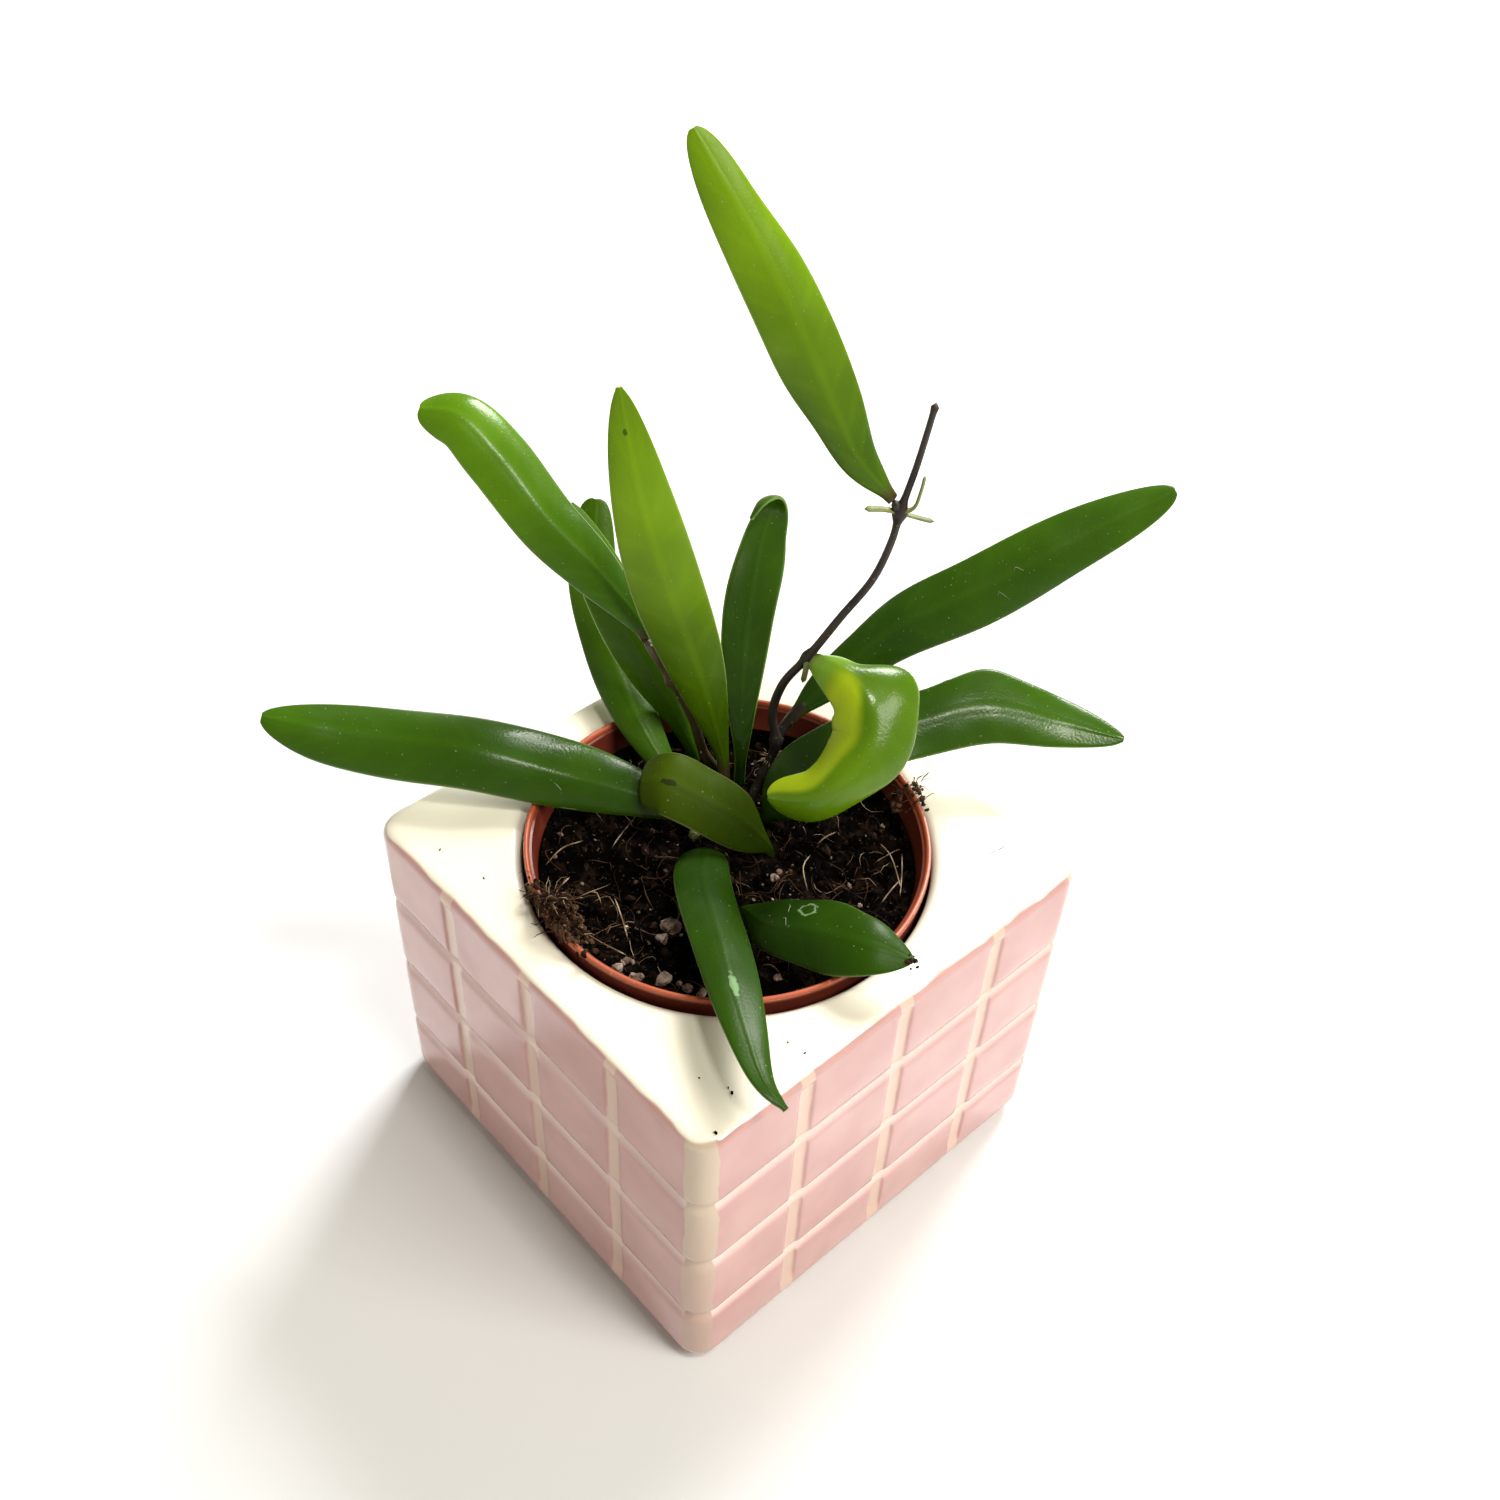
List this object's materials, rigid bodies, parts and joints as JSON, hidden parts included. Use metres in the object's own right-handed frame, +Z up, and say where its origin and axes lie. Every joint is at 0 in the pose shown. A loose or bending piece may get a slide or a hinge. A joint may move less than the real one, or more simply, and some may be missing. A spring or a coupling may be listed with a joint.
{
  "type": "potted hoya loheri",
  "caption": "Hoya with long thick narrow leaves and a climbing shoot, in a terracotta-coloured nursery pot that stands in a square planter with a pink tile pattern.",
  "frame": {"origin": "middle of the planter's flat underside", "axes": "+Z up; X and Y square to the planter's sides; the picture looks along the diagonal from +X -Y"},
  "size_m": [0.1224, 0.1348, 0.1827],
  "materials": {
    "glaze": "glossy pink and cream glaze",
    "terracotta_plastic": "smooth thin plastic",
    "potting_mix": "damp peat and bark crumbs with fibres",
    "brown_stem": "dull bark",
    "green_stem": "smooth",
    "lime_leaf": "waxy",
    "green_leaf": "waxy, shiny",
    "dark_leaf": "waxy, shiny",
    "olive_leaf": "dull underside"
  },
  "bodies": {
    "root": {"planter": "glaze", "nursery_pot": "terracotta_plastic", "soil": "potting_mix", "vine": "brown_stem", "side_stem": "brown_stem", "cut_stub": "green_stem", "shoot_top_leaf": "lime_leaf", "centre_leaf": "lime_leaf", "upper_left_leaf": "green_leaf", "long_left_leaf": "dark_leaf", "short_olive_leaf": "olive_leaf", "back_round_leaf": "green_leaf", "back_left_leaf": "dark_leaf", "back_hooked_leaf": "dark_leaf", "upper_right_leaf": "green_leaf", "curled_leaf": "lime_leaf", "lower_right_leaf": "dark_leaf", "front_leaf": "dark_leaf", "front_right_leaf": "dark_leaf"}
  },
  "joints": []
}
